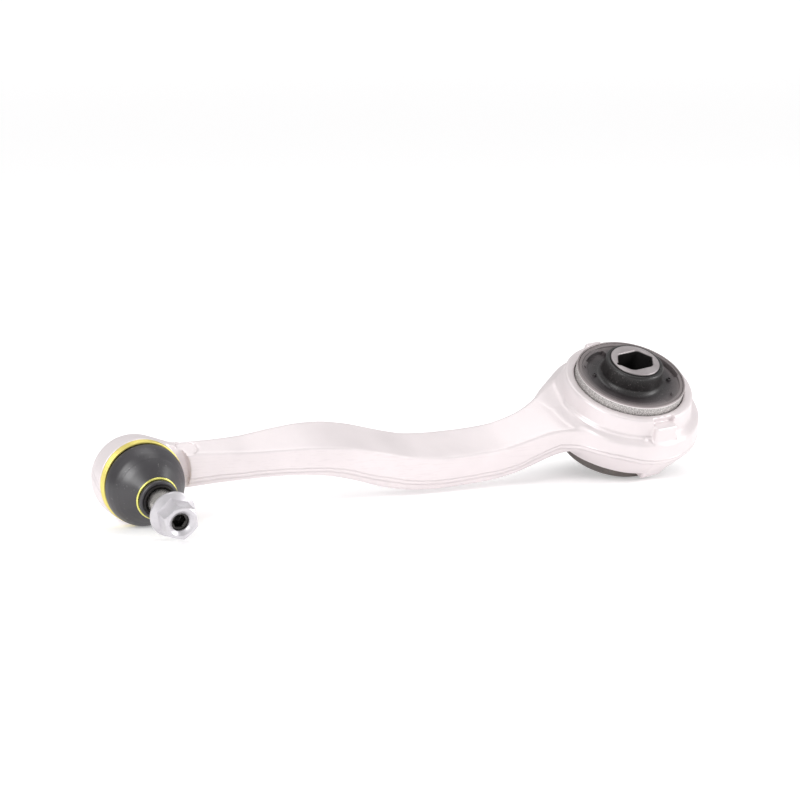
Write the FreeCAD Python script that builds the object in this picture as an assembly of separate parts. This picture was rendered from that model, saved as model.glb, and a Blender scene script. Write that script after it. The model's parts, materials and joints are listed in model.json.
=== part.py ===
import FreeCAD, Part
import os
from math import sin, cos, radians, pi
from FreeCAD import Vector, Placement, Rotation

# Forged control arm with a hydraulic bush at one end and a ball joint at the other.
# Frame: the arm lies as it rests on a floor. +X runs from the ball joint to the bush, +Z is up,
# and the origin is the middle of the bush's inner sleeve. Millimetres.

# ---- driving dimensions -------------------------------------------------------------------------
REACH = 307.0              # ball centre to bush centre, along the arm
BALL_SIDE = 3.7            # ball centre beside the bush centre, when the arm lies down
BALL_DROP = 19.0           # ball centre below the bush centre, when the arm lies down
LIE_ROLL = 26.8            # the bush axis leans this far from vertical
HOUSING_DROOP = 2.4        # the ball housing's axis points this far below level
STUD_DROOP = 9.8           # and the stud rests this far below level

SLEEVE_R = 15.0
SLEEVE_HALF = 32.0
SLOT_WIDTH = 16.0          # oblong bolt hole, across its two flats
SLOT_LENGTH = 25.0         # and from point to point
SLOT_FLAT = 14.8           # length of each flat
SLOT_TURN = 10.0           # the long way of the hole against the arm
CAN_R = 33.0
CAN_WALL = 2.0
CAN_LOW, CAN_HIGH = -22.4, 21.5
EYE_LOW, EYE_HIGH = -23.0, 15.9
EYE_R = 48.7               # at the forging's parting line
EYE_PART_Z = -8.5

BALL_R = 13.5
SHELL_R = 17.0
HOUSING_R = 24.3
SHANK_R = 7.7
THREAD_R = 6.0             # M12 x 1.5
NUT_FLATS = 18.0
NUT_FLANGE_R = 13.0
NUT_START, NUT_END = 49.4, 64.4
NUT_TURN = 43.0            # one corner of the hexagon, round from the arm's length
CLIP_R = 23.2              # inside of the boot's large clip
CLIP_LOW, CLIP_HIGH = 1.0, 5.6     # and where it sits, from the ball centre
GAP = 0.3                  # between solids on different bodies
HAIR = 0.02                # between solids that are pressed together

# ---- where each end sits ------------------------------------------------------------------------
BALL = Vector(-REACH, BALL_SIDE, -BALL_DROP)
BUSH_FRAME = Placement(Vector(0, 0, 0), Rotation(Vector(1, 0, 0), LIE_ROLL))
HOUSING_FRAME = Placement(BALL, Rotation(Vector(1, 0, 0), 90 + HOUSING_DROOP))
STUD_FRAME = Placement(BALL, Rotation(Vector(1, 0, 0), 90 + STUD_DROOP))
UP = Vector(0, 0, 1)


def placed(shape, frame):
    moved = shape.copy()
    moved.Placement = frame.multiply(moved.Placement)
    return moved


def turned(profile, angle=360.0, start=0.0):
    """Solid of revolution about Z. profile is a closed list of (radius, height)."""
    points = [Vector(r, 0, z) for r, z in profile]
    face = Part.Face(Part.makePolygon(points + points[:1]))
    solid = face.revolve(Vector(0, 0, 0), UP, angle)
    solid.rotate(Vector(0, 0, 0), UP, start)
    return solid


def tube(r_in, r_out, low, high, angle=360.0, start=0.0):
    return turned([(r_in, low), (r_out, low), (r_out, high), (r_in, high)], angle, start)


def rod(radius, low, high):
    return Part.makeCylinder(radius, high - low, Vector(0, 0, low))


def ring(r_major, r_minor, height):
    return Part.makeTorus(r_major, r_minor, Vector(0, 0, height))


def slot_prism(width, length, flat, low, high):
    """Oblong six-sided bar with two long flats and a blunt point at each end."""
    half_w, half_l, half_f = width / 2, length / 2, flat / 2
    outline = [(-half_f, -half_w), (half_f, -half_w), (half_l, 0),
               (half_f, half_w), (-half_f, half_w), (-half_l, 0)]
    points = [Vector(x, y, low) for x, y in outline]
    bar = Part.Face(Part.makePolygon(points + points[:1])).extrude(UP * (high - low))
    uprights = [e for e in bar.Edges if abs(e.tangentAt(e.FirstParameter).z) > 0.9]
    bar = bar.makeFillet(2.0, uprights)
    bar.rotate(Vector(0, 0, 0), UP, SLOT_TURN)
    return bar


# ---- the forging --------------------------------------------------------------------------------
# Stations along the arm: x, height of the section's middle, its width, its depth. The width runs
# across the arm and the depth along the bush axis.
STATIONS = [
    (-298.0, -13.5, 19.5, 25.0),
    (-280.0, -13.9, 18.0, 24.2),
    (-262.0, -13.5, 18.0, 22.0),
    (-244.0, -13.1, 19.8, 20.6),
    (-226.0, -11.9, 23.0, 20.4),
    (-208.0, -11.4, 26.0, 21.2),
    (-192.0, -12.5, 27.3, 22.4),
    (-176.0, -15.9, 27.2, 24.0),
    (-160.0, -20.7, 26.0, 25.4),
    (-144.0, -24.3, 25.6, 25.2),
    (-126.0, -25.3, 27.2, 24.4),
    (-104.0, -24.7, 26.6, 24.4),
    (-86.0, -23.1, 26.8, 24.2),
    (-70.0, -19.0, 27.8, 24.4),
    (-58.0, -14.0, 32.0, 22.6),
    (-48.0, -9.5, 42.0, 20.5),
    (-26.0, -6.5, 56.0, 20.0),
    (-4.0, -6.0, 60.0, 20.0),
]
SECTION_POWER = 3.4        # how square the rounded section is
SECTION_POINTS = 20
HOUSING_MIDDLE = 10.5      # middle of the ball housing's depth, to one side of the bush centre
BOOT_SPACE_R = 31.0        # the beam stops short of the boot inside this radius
RIB_WIDTH, RIB_TURN = 15.6, 9.0
RIB_OUT, RIB_TOP, RIB_LOW = 43.6, 12.0, -10.0
FOOT_OUT, FOOT_LOW = 38.6, -27.4


def side_drift(x):
    """The beam drifts sideways, so that it meets the ball housing at the middle of its depth."""
    return HOUSING_MIDDLE * min(1.0, -x / REACH)


def section(x, height, width, depth):
    points = []
    for i in range(SECTION_POINTS):
        a = 2 * pi * (i + 0.5) / SECTION_POINTS
        u = width / 2 * abs(cos(a)) ** (2 / SECTION_POWER) * (1 if cos(a) > 0 else -1)
        v = depth / 2 * abs(sin(a)) ** (2 / SECTION_POWER) * (1 if sin(a) > 0 else -1)
        points.append(Vector(0, u, v))
    curve = Part.BSplineCurve()
    curve.interpolate(points, PeriodicFlag=True)
    wire = Part.Wire([curve.toShape()])
    middle = Vector(x, side_drift(x), height)
    return placed(wire, Placement(middle, Rotation(Vector(1, 0, 0), LIE_ROLL)))


def arm_beam():
    return Part.makeLoft([section(*s) for s in STATIONS], True, False)


def eye_body():
    """Upper wall, a ledge, the wide belt with the parting line, and the wall that tapers below it."""
    return turned([(20.0, EYE_LOW), (39.4, EYE_LOW), (43.0, -17.5), (EYE_R, EYE_PART_Z - 1.0),
                   (EYE_R, EYE_PART_Z + 1.0), (45.4, 2.2), (40.2, 5.2), (39.2, 13.5), (38.4, EYE_HIGH),
                   (20.0, EYE_HIGH)])


def eye_rib():
    """Upright rib on the eye's outer wall: a flat pad above the belt and a foot below it."""
    pad = Part.makeBox(RIB_WIDTH, RIB_OUT - 30, RIB_TOP - RIB_LOW, Vector(-RIB_WIDTH / 2, -RIB_OUT, RIB_LOW))
    foot = Part.makeBox(RIB_WIDTH, FOOT_OUT - 30, 10.0, Vector(-RIB_WIDTH / 2, -FOOT_OUT, FOOT_LOW))
    rib = pad.makeFillet(1.5, pad.Edges).fuse(foot.makeFillet(1.5, foot.Edges))
    rib.rotate(Vector(0, 0, 0), UP, RIB_TURN)
    return rib


HOUSING_BACK = -18.0       # rear edge of the housing, from the ball centre
GROOVE_R, GROOVE_LOW = 21.4, 0.8   # boot groove
NECK_END = 6.6


def housing_body():
    return turned([(0, HOUSING_BACK), (20.6, HOUSING_BACK), (22.2, HOUSING_BACK + 1.2), (22.8, -13.0),
                   (HOUSING_R, -10.5), (HOUSING_R, GROOVE_LOW - 0.4), (HOUSING_R - 0.4, GROOVE_LOW),
                   (GROOVE_R, GROOVE_LOW), (GROOVE_R, 5.8), (22.0, 6.1), (21.4, NECK_END), (0, NECK_END)])


def housing_cavity():
    """Shell bore from the back, seat for the rear cover, and the flared mouth for the stud."""
    return turned([(0, HOUSING_BACK - 5), (19.2, HOUSING_BACK - 5), (19.2, -13.6), (SHELL_R, -13.6),
                   (SHELL_R, 4.0), (15.2, 4.0), (15.2, 4.6), (17.2, NECK_END + 2), (0, NECK_END + 2)])


def arm_forging():
    beam = arm_beam().cut(placed(rod(BOOT_SPACE_R, GROOVE_LOW, 60), HOUSING_FRAME))
    body = beam.fuse(placed(eye_body(), BUSH_FRAME))
    body = body.fuse(placed(eye_rib(), BUSH_FRAME))
    body = body.fuse(placed(housing_body(), HOUSING_FRAME))
    body = body.cut(placed(rod(CAN_R, -80, 80), BUSH_FRAME))
    body = body.cut(placed(housing_cavity(), HOUSING_FRAME))
    return max(body.Solids, key=lambda s: s.Volume)


# ---- the bush, about Z --------------------------------------------------------------------------
BAND_R = CAN_R - CAN_WALL
RING_LOW, RING_HIGH = 15.6, 20.6
BOTTOM_R = 32.6
BOTTOM_LOW, BOTTOM_TOP = -31.8, -22.6
CHAMBER_TOP, CHAMBER_LOW = 9.0, -13.0
CHAMBER_R_IN, CHAMBER_R_OUT = 22.0, 28.0
CHAMBER_SPAN = 96.0        # degrees that each fluid chamber takes
CAGE_R = 28.8
STOP_R = 19.0
STOP_LOW, STOP_HIGH = -11.0, 7.0


def bush_outer_can():
    return turned([(BAND_R, CAN_LOW), (CAN_R, CAN_LOW), (CAN_R, CAN_HIGH - 0.8), (CAN_R - 0.8, CAN_HIGH),
                   (BAND_R - 0.9, CAN_HIGH), (BAND_R - 0.9, CAN_HIGH - 0.7), (BAND_R, CAN_HIGH - 0.7)])


def bush_inner_sleeve():
    sleeve = turned([(0, -SLEEVE_HALF), (SLEEVE_R - 0.8, -SLEEVE_HALF), (SLEEVE_R, -SLEEVE_HALF + 0.8),
                     (SLEEVE_R, SLEEVE_HALF - 0.8), (SLEEVE_R - 0.8, SLEEVE_HALF), (0, SLEEVE_HALF)])
    return sleeve.cut(slot_prism(SLOT_WIDTH, SLOT_LENGTH, SLOT_FLAT, -SLEEVE_HALF - 1, SLEEVE_HALF + 1))


def bush_travel_stop():
    """Hard plastic collar on the sleeve that limits how far the arm can move in the bush."""
    collar = tube(SLEEVE_R + HAIR, STOP_R, STOP_LOW, STOP_HIGH)
    for start in (-34.0, 146.0):
        nose = tube(STOP_R - 1.0, STOP_R + 2.2, STOP_LOW + 4, STOP_HIGH - 4, 68.0, start)
        collar = collar.fuse(nose)
    return collar


def bush_support_cage():
    """Thin steel ring in the rubber with a window over each fluid chamber."""
    cage = tube(CAGE_R - 1.0, CAGE_R, -20.0, 13.0)
    for start in (-CHAMBER_SPAN / 2, 180 - CHAMBER_SPAN / 2):
        cage = cage.cut(tube(CAGE_R - 3, CAGE_R + 3, CHAMBER_LOW, CHAMBER_TOP, CHAMBER_SPAN, start))
    return cage


def bush_channel_ring():
    """Plastic ring between the chambers and the can, with the throttle channel cut round it."""
    band = tube(CAGE_R + GAP, BAND_R - HAIR, CHAMBER_LOW, CHAMBER_TOP)
    channel = tube(BAND_R - 1.0, BAND_R + 1, -4.5, 0.5, 340.0, 10.0)
    return band.cut(channel)


def bush_fluid():
    """Glycol filling of the two chambers."""
    halves = [tube(CHAMBER_R_IN + GAP, CHAMBER_R_OUT - GAP - 0.6, CHAMBER_LOW + 1, CHAMBER_TOP - 1,
                   CHAMBER_SPAN - 6, s + 3) for s in (-CHAMBER_SPAN / 2, 180 - CHAMBER_SPAN / 2)]
    return Part.makeCompound(halves)


RUBBER_GAP = 0.3           # the rubber is bonded to the sleeve; its solid keeps this off it
RUBBER_LOW = -22.4


def bush_rubber():
    """Bonded rubber body: a collar up the sleeve, a web to the can, and two fluid chambers."""
    inner = SLEEVE_R + RUBBER_GAP
    body = turned([(inner, -28.5), (17.6, -28.5), (20.0, -24.6), (20.2, RUBBER_LOW), (BAND_R - HAIR, RUBBER_LOW),
                   (BAND_R - HAIR, RING_LOW - HAIR), (20.8, RING_LOW - HAIR), (20.8, 19.4), (19.6, 21.0),
                   (18.8, 24.0), (17.8, 29.6), (17.0, 30.6), (inner, 30.6)])
    body = body.cut(tube(inner - 1, STOP_R + 2.6, STOP_LOW - GAP, STOP_HIGH + GAP))
    body = body.cut(tube(CAGE_R - 1.0 - HAIR, CAGE_R + HAIR, -20.0 - HAIR, 13.0 + HAIR))
    body = body.cut(tube(CAGE_R - HAIR, BAND_R + 1, CHAMBER_LOW - HAIR, CHAMBER_TOP + HAIR))
    for start in (-CHAMBER_SPAN / 2, 180 - CHAMBER_SPAN / 2):
        body = body.cut(tube(CHAMBER_R_IN, CAGE_R + HAIR, CHAMBER_LOW, CHAMBER_TOP, CHAMBER_SPAN, start))
    return max(body.Solids, key=lambda s: s.Volume)


def bush_top_ring():
    """Black end ring inside the can's upper rim, with a raised outer band cut by two pockets."""
    body = turned([(21.0, RING_LOW), (BAND_R - HAIR, RING_LOW), (BAND_R - HAIR, RING_HIGH - 0.4),
                   (30.4, RING_HIGH), (26.4, RING_HIGH), (26.0, RING_HIGH - 1.4), (21.4, RING_HIGH - 2.0)])
    for start, span in ((118.0, 38.0), (-8.0, 36.0)):
        body = body.cut(tube(26.0, 29.0, RING_HIGH - 1.4, RING_HIGH + 1, span, start))
    return body


def bush_bottom_ring():
    """Dark end ring that closes the bush below the can."""
    return turned([(20.4, BOTTOM_TOP), (BOTTOM_R, BOTTOM_TOP), (BOTTOM_R, BOTTOM_LOW + 1.4),
                   (BOTTOM_R - 1.4, BOTTOM_LOW), (22.0, BOTTOM_LOW), (20.4, -29.5)])


# ---- the ball joint, about Z from the ball centre --------------------------------------------------
COVER_R = 19.1
SHELL_GAP = 0.25           # between the ball and its shell, filled by the grease film
FILM_OPEN = 8.3            # the film ends at this height, so that it clears the neck as the stud tilts


def socket_shell():
    """Plastic bearing shell round the ball, open towards the stud."""
    body = turned([(0, -13.4), (SHELL_R - HAIR, -13.4), (SHELL_R - HAIR, 3.9), (14.0, 3.9), (13.2, 3.0), (0, 3.0)])
    body = body.cut(Part.makeSphere(BALL_R + SHELL_GAP))
    return body.cut(rod(9.0, -20, -8))


def socket_pressure_ring():
    """Elastic ring that presses the shell against the ball."""
    return ring(12.4, 1.0, -14.6)


def socket_cover():
    """Pressed steel plate that closes the housing at the back."""
    return turned([(0, -17.4), (9.0, -17.4), (12.0, -17.0), (COVER_R, -17.0), (COVER_R, -15.8), (0, -15.8)])


def socket_cover_lip():
    """Snap ring that holds the cover in its seat."""
    return tube(17.0, COVER_R, HOUSING_BACK + 0.2, -17.1)


def joint_grease():
    """Film of grease round the ball, between it and the shell."""
    film = Part.makeSphere(BALL_R + SHELL_GAP - 0.08).cut(Part.makeSphere(BALL_R + 0.08))
    return film.cut(rod(BALL_R + 2, FILM_OPEN, BALL_R + 2))


def ball_stud():
    """Ball, neck, tapered shank and thread in one piece, with a hexagon socket in its end."""
    stud = Part.makeSphere(BALL_R).cut(rod(BALL_R, -BALL_R - 1, -11.4))
    stem = turned([(0, 0), (6.6, 0), (6.6, 15.0), (SHANK_R - 0.5, 19.0), (SHANK_R, 20.5), (SHANK_R, 28.0),
                   (6.9, 44.0), (5.2, 45.0), (5.2, 46.4), (THREAD_R, 47.2), (THREAD_R, 60.0), (5.0, 61.0), (0, 61.0)])
    stud = stud.fuse(stem)
    stud = stud.cut(hexagon(6.0, 54.0, 62.0))
    return stud.removeSplitter()


def hexagon(flats, low, high):
    radius = flats / 2 / cos(pi / 6)
    points = [Vector(radius * cos(k * pi / 3), radius * sin(k * pi / 3), low) for k in range(6)]
    return Part.Face(Part.makePolygon(points + points[:1])).extrude(UP * (high - low))


def flange_nut():
    hexes = hexagon(NUT_FLATS, NUT_START, NUT_END)
    hexes.rotate(Vector(0, 0, 0), UP, NUT_TURN)
    crown = turned([(0, NUT_START), (NUT_FLANGE_R, NUT_START), (NUT_FLANGE_R, NUT_END - 2.0), (8.6, NUT_END),
                    (0, NUT_END)])
    flange = turned([(0, NUT_START), (NUT_FLANGE_R - 0.4, NUT_START), (NUT_FLANGE_R, NUT_START + 0.5),
                     (NUT_FLANGE_R, NUT_START + 1.5), (9.4, NUT_START + 3.6), (0, NUT_START + 3.6)])
    body = hexes.common(crown).fuse(flange)
    return body.cut(rod(THREAD_R + HAIR, 0, 80)).cut(
        turned([(0, NUT_END - 1.0), (THREAD_R, NUT_END - 1.0), (THREAD_R + 1.1, NUT_END + 0.1), (0, NUT_END + 0.1)]))


# Boot: rings between the housing groove and the stud's neck: share of the way, outer radius.
BOOT_START, BOOT_END = 2.6, 26.0
BOOT_RINGS = [(0.0, 22.7), (0.2, 23.0), (0.42, 22.2), (0.62, 19.8), (0.8, 16.0), (0.93, 12.4), (1.0, 11.0)]
BOOT_WALL = 1.8


def boot_loop(share, radius):
    """Circle part of the way up the boot; its plane turns from the housing's to the stud's."""
    droop = HOUSING_DROOP + (STUD_DROOP - HOUSING_DROOP) * share
    height = BOOT_START + (BOOT_END - BOOT_START) * share
    frame = Placement(BALL, Rotation(Vector(1, 0, 0), 90 + droop))
    return placed(Part.Wire([Part.makeCircle(radius, Vector(0, 0, height), UP)]), frame)


def boot():
    outer = Part.makeLoft([boot_loop(s, r) for s, r in BOOT_RINGS], True, False)
    inner = Part.makeLoft([boot_loop(s, r - BOOT_WALL) for s, r in BOOT_RINGS], True, False)
    bead = placed(tube(GROOVE_R + HAIR, 22.6, CLIP_LOW, CLIP_HIGH), HOUSING_FRAME)
    lip = placed(tube(SHANK_R + GAP, 11.2, 25.0, 29.6), STUD_FRAME)
    shell = outer.cut(inner).fuse(bead).fuse(lip)
    shell = shell.cut(placed(rod(SHANK_R + GAP, 0, 60), STUD_FRAME))
    shell = shell.cut(placed(housing_body(), HOUSING_FRAME))
    return max(shell.Solids, key=lambda s: s.Volume)


def boot_large_clip():
    return placed(tube(CLIP_R, CLIP_R + 0.8, CLIP_LOW, CLIP_HIGH), HOUSING_FRAME)


def boot_small_clip():
    return placed(tube(11.4, 12.2, 26.0, 28.0), STUD_FRAME)


def boot_collar():
    """Steel ring moulded into the boot's neck that seals on the stud."""
    return placed(tube(SHANK_R + GAP, 9.4, 30.0, 31.6), STUD_FRAME)


PARTS = {
    "arm_forging": arm_forging,
    "boot": boot,
    "boot_large_clip": boot_large_clip,
    "boot_small_clip": boot_small_clip,
    "boot_collar": boot_collar,
}
for name, make in [("bush_outer_can", bush_outer_can), ("bush_inner_sleeve", bush_inner_sleeve),
                   ("bush_travel_stop", bush_travel_stop), ("bush_support_cage", bush_support_cage),
                   ("bush_channel_ring", bush_channel_ring), ("bush_fluid", bush_fluid),
                   ("bush_rubber", bush_rubber), ("bush_top_ring", bush_top_ring),
                   ("bush_bottom_ring", bush_bottom_ring)]:
    PARTS[name] = lambda make=make: placed(make(), BUSH_FRAME)
for name, make in [("socket_shell", socket_shell), ("socket_pressure_ring", socket_pressure_ring),
                   ("socket_cover", socket_cover), ("socket_cover_lip", socket_cover_lip),
                   ("joint_grease", joint_grease)]:
    PARTS[name] = lambda make=make: placed(make(), HOUSING_FRAME)
for name, make in [("ball_stud", ball_stud), ("flange_nut", flange_nut)]:
    PARTS[name] = lambda make=make: placed(make(), STUD_FRAME)

os.makedirs("parts", exist_ok=True)
for name, make in PARTS.items():
    shape = make()
    shape.exportStep("parts/" + name + ".step")
    print(name, len(shape.Solids), round(shape.Volume), shape.isValid())
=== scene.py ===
import json
from math import sin, cos, tan, radians, pi, atan2, degrees
import bpy
import numpy as np
from mathutils import Matrix, Vector


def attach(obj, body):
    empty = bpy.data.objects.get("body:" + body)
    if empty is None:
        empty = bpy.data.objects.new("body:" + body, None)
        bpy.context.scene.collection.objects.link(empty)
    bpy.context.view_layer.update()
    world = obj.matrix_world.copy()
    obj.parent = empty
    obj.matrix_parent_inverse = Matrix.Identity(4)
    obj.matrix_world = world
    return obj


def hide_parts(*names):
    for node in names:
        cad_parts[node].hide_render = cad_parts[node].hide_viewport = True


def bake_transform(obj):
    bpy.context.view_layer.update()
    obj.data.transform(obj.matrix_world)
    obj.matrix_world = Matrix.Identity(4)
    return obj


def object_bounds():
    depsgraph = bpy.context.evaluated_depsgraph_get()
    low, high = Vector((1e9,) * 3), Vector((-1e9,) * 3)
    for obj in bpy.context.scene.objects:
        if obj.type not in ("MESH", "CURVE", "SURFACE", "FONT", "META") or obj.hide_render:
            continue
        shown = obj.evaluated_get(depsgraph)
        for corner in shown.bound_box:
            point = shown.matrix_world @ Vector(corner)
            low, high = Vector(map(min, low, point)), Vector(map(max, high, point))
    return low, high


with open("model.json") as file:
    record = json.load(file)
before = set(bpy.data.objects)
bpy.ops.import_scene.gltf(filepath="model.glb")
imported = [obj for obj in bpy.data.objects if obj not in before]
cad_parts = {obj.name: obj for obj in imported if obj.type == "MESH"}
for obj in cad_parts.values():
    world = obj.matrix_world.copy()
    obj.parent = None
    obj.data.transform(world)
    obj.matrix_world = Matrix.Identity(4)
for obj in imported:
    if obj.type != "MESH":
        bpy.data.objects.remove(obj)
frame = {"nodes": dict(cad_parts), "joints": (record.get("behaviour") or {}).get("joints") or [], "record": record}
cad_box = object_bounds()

# Forged control arm: a hydraulic bush in the eye at +X, a booted ball joint at -X.
# Local shapes are in millimetres about the bush, housing or stud axis, and are placed in metres.
MM = 0.001
JOINTS = {j["name"]: j for j in frame["joints"]}
BALL = Vector(JOINTS["stud_spin"]["pos_m"])
HOUSING_DROOP = 2.4
SCENE = bpy.context.scene


def axis_frame(origin, axis):
    """Local mm frame. Its Z is axis, which lies in the row's YZ plane, and its X is the row's X."""
    turn = atan2(-axis[1], axis[2])
    return Matrix.Translation(origin) @ Matrix.Rotation(turn, 4, "X") @ Matrix.Scale(MM, 4)


BUSH = axis_frame(Vector((0, 0, 0)), JOINTS["bush_twist"]["axis"])
STUD = axis_frame(BALL, JOINTS["stud_spin"]["axis"])
HOUSING = axis_frame(BALL, (0, -cos(radians(HOUSING_DROOP)), -sin(radians(HOUSING_DROOP))))


# ---- mesh tools ---------------------------------------------------------------------------------
def new_piece(name, verts, faces, matrix, sharp_angle=38.0):
    """Mesh object from local points, placed in metres."""
    mesh = bpy.data.meshes.new(name)
    mesh.from_pydata([tuple(v) for v in verts], [], [tuple(f) for f in faces])
    mesh.transform(matrix)
    mesh.validate()
    mesh.shade_smooth()
    mesh.set_sharp_from_angle(angle=radians(sharp_angle))
    piece = bpy.data.objects.new(name, mesh)
    SCENE.collection.objects.link(piece)
    return piece


def rounded(profile, radius, steps=4):
    """Closed profile with each corner turned into an arc. A point's third number is its own radius."""
    out = []
    n = len(profile)
    for i in range(n):
        before, here, after = (np.array(profile[(i + k) % n][:2], float) for k in (-1, 0, 1))
        r = profile[i][2] if len(profile[i]) > 2 else radius
        u, v = before - here, after - here
        lu, lv = np.linalg.norm(u), np.linalg.norm(v)
        u, v = u / lu, v / lv
        half = np.arccos(np.clip(u @ v, -1, 1)) / 2
        if r <= 0 or half > radians(88):
            out.append(tuple(here))
            continue
        reach = min(r / tan(half), 0.45 * lu, 0.45 * lv)
        r = reach * tan(half)
        centre = here + (u + v) / np.linalg.norm(u + v) * (r / sin(half))
        a, b = here + u * reach - centre, here + v * reach - centre
        sweep = np.arccos(np.clip(a @ b / (np.linalg.norm(a) * np.linalg.norm(b)), -1, 1))
        for k in range(steps + 1):
            t = k / steps
            w = (sin((1 - t) * sweep) * a + sin(t * sweep) * b) / sin(sweep)
            out.append(tuple(centre + w))
    return out


def lathe(name, profile, matrix, segments=160, sharp_angle=38.0):
    """Solid of revolution about local Z. profile is a closed list of (radius, height)."""
    angles = 2 * pi * np.arange(segments) / segments
    verts, rings = [], []
    for r, z in profile:
        if r < 1e-6:
            rings.append([len(verts)] * segments)
            verts.append((0, 0, z))
        else:
            rings.append(list(range(len(verts), len(verts) + segments)))
            verts += [(r * cos(a), r * sin(a), z) for a in angles]
    faces = []
    area = sum(p[0] * q[1] - q[0] * p[1] for p, q in zip(profile, profile[1:] + profile[:1]))
    for lower, upper in zip(rings, rings[1:] + rings[:1]):
        for k in range(segments):
            m = (k + 1) % segments
            quad = [lower[k], lower[m], upper[m], upper[k]]
            if area < 0:
                quad.reverse()
            face = list(dict.fromkeys(quad))
            if len(face) > 2:
                faces.append(face)
    return new_piece(name, verts, faces, matrix, sharp_angle)


def convex(a, b, r):
    """Distance to the overlap of two shapes whose common edge is rounded by r."""
    return np.minimum(np.maximum(a, b), -r) + np.hypot(np.maximum(a + r, 0), np.maximum(b + r, 0))


def fillet(a, b, r):
    """Distance to two shapes joined with a fillet of radius r."""
    return np.maximum(np.minimum(a, b), r) - np.hypot(np.maximum(r - a, 0), np.maximum(r - b, 0))


def grid_surface(field, low, high, cell):
    """Quad mesh of the surface where field is zero: one vertex in each grid cell that it crosses."""
    axes = [np.arange(a, b + cell, cell) for a, b in zip(low, high)]
    value = field(axes[0][:, None, None], axes[1][None, :, None], axes[2][None, None, :])
    value = np.ascontiguousarray(np.broadcast_to(value, [len(a) for a in axes]), dtype=np.float32)
    shape = np.array(value.shape)
    stride = np.array([shape[1] * shape[2], shape[2], 1])
    ids, places, quads = [], [], []
    for a in range(3):
        b, c = (a + 1) % 3, (a + 2) % 3
        first = np.take(value, range(shape[a] - 1), axis=a)
        second = np.take(value, range(1, shape[a]), axis=a)
        at = np.argwhere((first < 0) != (second < 0))
        v0, v1 = first[tuple(at.T)], second[tuple(at.T)]
        place = at.astype(float)
        place[:, a] += v0 / (v0 - v1)
        corner = at @ stride
        around = [corner - stride[b] - stride[c], corner - stride[c], corner, corner - stride[b]]
        for cell_id in around:
            ids.append(cell_id)
            places.append(place)
        quad = np.stack(around, 1)
        quad[v0 > 0] = quad[v0 > 0][:, ::-1]
        quads.append(quad)
    ids, places, quads = np.concatenate(ids), np.concatenate(places), np.concatenate(quads)
    unique, index = np.unique(ids, return_inverse=True)
    count = np.bincount(index)
    verts = np.stack([np.bincount(index, places[:, k]) / count for k in range(3)], 1)
    verts = np.array([a[0] for a in axes]) + verts * cell
    faces = np.searchsorted(unique, quads)
    for _ in range(3):
        verts = pulled_on(field, verts, 0.5 * cell)
    return verts, faces


def pulled_on(field, verts, most):
    """Moves points onto the surface along the field's slope, by at most that far."""
    h = 0.02
    here = field(*verts.T)
    rise = [field(*(verts + h * e).T) - field(*(verts - h * e).T) for e in np.eye(3)]
    slope = np.stack(rise, 1) / (2 * h)
    step = -here[:, None] * slope / np.maximum((slope ** 2).sum(1), 0.25)[:, None]
    length = np.linalg.norm(step, axis=1)[:, None]
    return verts + step * np.minimum(1, most / np.maximum(length, 1e-9))


def field_piece(name, field, low, high, cell, matrix, faces_kept=None, sharp_angle=60.0):
    """Piece from a distance field, thinned to about faces_kept triangles."""
    verts, faces = grid_surface(field, low, high, cell)
    piece = new_piece(name, verts, faces, matrix, sharp_angle)
    if faces_kept and len(faces) * 2 > faces_kept:
        thin = piece.modifiers.new("thin", "DECIMATE")
        thin.ratio = faces_kept / (len(faces) * 2)
        apply_modifiers(piece)
        piece.data.shade_smooth()
        piece.data.set_sharp_from_angle(angle=radians(sharp_angle))
    return piece


def apply_modifiers(piece):
    graph = bpy.context.evaluated_depsgraph_get()
    mesh = bpy.data.meshes.new_from_object(piece.evaluated_get(graph))
    old = piece.data
    piece.modifiers.clear()
    piece.data = mesh
    mesh.name = old.name
    bpy.data.meshes.remove(old)


# ---- the forging --------------------------------------------------------------------------------
# Stations along the beam: x, height of the section's middle above the row's origin, width of the flat top,
# width at the parting line, depth.
STATIONS = np.array([
    (-298.0, -12.6, 11.5, 20.5, 26.0),
    (-280.0, -13.9, 11.2, 19.5, 25.2),
    (-262.0, -13.5, 13.4, 19.5, 22.9),
    (-244.0, -13.1, 16.8, 21.0, 21.2),
    (-226.0, -11.9, 21.8, 24.0, 21.0),
    (-208.0, -11.4, 25.3, 26.8, 21.9),
    (-192.0, -12.5, 26.7, 28.2, 23.1),
    (-176.0, -15.9, 26.5, 28.0, 24.8),
    (-160.0, -20.9, 25.2, 26.8, 26.7),
    (-144.0, -24.6, 24.9, 26.5, 26.4),
    (-126.0, -25.5, 26.5, 28.0, 25.2),
    (-104.0, -24.8, 26.0, 27.4, 25.2),
    (-86.0, -23.3, 25.9, 27.4, 25.0),
    (-70.0, -19.2, 26.5, 28.8, 25.2),
    (-60.0, -14.7, 28.8, 32.5, 23.0),
    (-52.0, -10.2, 34.6, 39.0, 20.4),
    (-44.0, -7.6, 39.5, 44.0, 17.6),
    (-26.0, -7.0, 44.0, 50.0, 15.0),
    (-4.0, -7.0, 44.0, 50.0, 15.0),
])
HOUSING_MIDDLE = 10.5
CAN_R = 33.0
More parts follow.
